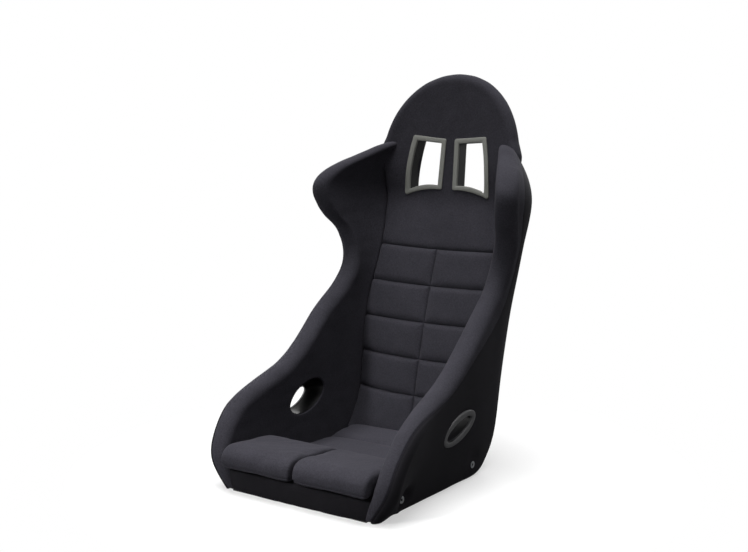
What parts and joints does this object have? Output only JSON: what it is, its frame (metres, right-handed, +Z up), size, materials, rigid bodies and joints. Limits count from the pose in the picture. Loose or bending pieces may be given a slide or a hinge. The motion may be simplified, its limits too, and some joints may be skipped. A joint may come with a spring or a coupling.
{
  "type": "racing seat",
  "caption": "One-piece bucket seat with a padded tube frame, side wings, harness slots in the head and sides, and a lift-out cushion.",
  "frame": {"origin": "centre of the seat's box in plan, on the plane of its underside", "axes": "+Z up, -Y the way the seat faces, +X to the seat's own left"},
  "size_m": [0.5642, 0.7079, 0.9038],
  "materials": {
    "frame_steel": "black powder coat on welded steel tube",
    "plate_steel": "black powder coat on steel plate",
    "zinc": "bright zinc plated steel",
    "foam": "moulded polyurethane foam",
    "velour": "black velour with a short pile",
    "side_cloth": "smooth black upholstery cloth",
    "base_vinyl": "black grained vinyl",
    "slot_trim": "satin dark grey moulding",
    "slot_liner": "gloss black moulding",
    "hook_loop": "woven hook and loop tape"
  },
  "bodies": {
    "seat": {"rim_tube_left": "frame_steel", "rim_tube_right": "frame_steel", "back_hoop": "frame_steel", "front_cross_tube": "frame_steel", "rear_cross_tube": "frame_steel", "lumbar_cross_tube": "frame_steel", "shoulder_cross_tube": "frame_steel", "seat_pan": "plate_steel", "mount_plate_left": "plate_steel", "mount_plate_right": "plate_steel", "mount_bushes_left": "zinc", "mount_bushes_right": "zinc", "bolster_foam_left": "foam", "bolster_foam_right": "foam", "wing_foam_left": "foam", "wing_foam_right": "foam", "back_foam": "foam", "head_foam": "foam", "base_foam": "foam", "front_lip_foam": "foam", "bolster_cover_left": "velour", "bolster_cover_right": "velour", "wing_cover_left": "velour", "wing_cover_right": "velour", "quilted_pad": "velour", "head_cover": "velour", "side_cover_left": "side_cloth", "side_cover_right": "side_cloth", "wing_side_cover_left": "side_cloth", "wing_side_cover_right": "side_cloth", "rear_cover": "side_cloth", "front_lip_cover": "side_cloth", "base_cover": "base_vinyl", "shoulder_frame_left": "slot_trim", "shoulder_frame_right": "slot_trim", "shoulder_rear_frame_left": "slot_trim", "shoulder_rear_frame_right": "slot_trim", "lap_ring_left": "slot_trim", "lap_ring_right": "slot_trim", "shoulder_sleeve_left": "slot_liner", "shoulder_sleeve_right": "slot_liner", "lap_sleeve_left": "slot_liner", "lap_sleeve_right": "slot_liner", "loop_strips": "hook_loop"},
    "cushion": {"seat_cushion": "velour", "thigh_pad_left": "velour", "thigh_pad_right": "velour", "hook_strips": "hook_loop"}
  },
  "joints": [
    {"name": "cushion_lift", "type": "slide", "parent": "seat", "child": "cushion", "axis": [0, -0.6428, 0.766], "range_m": [0, 0.45]}
  ]
}
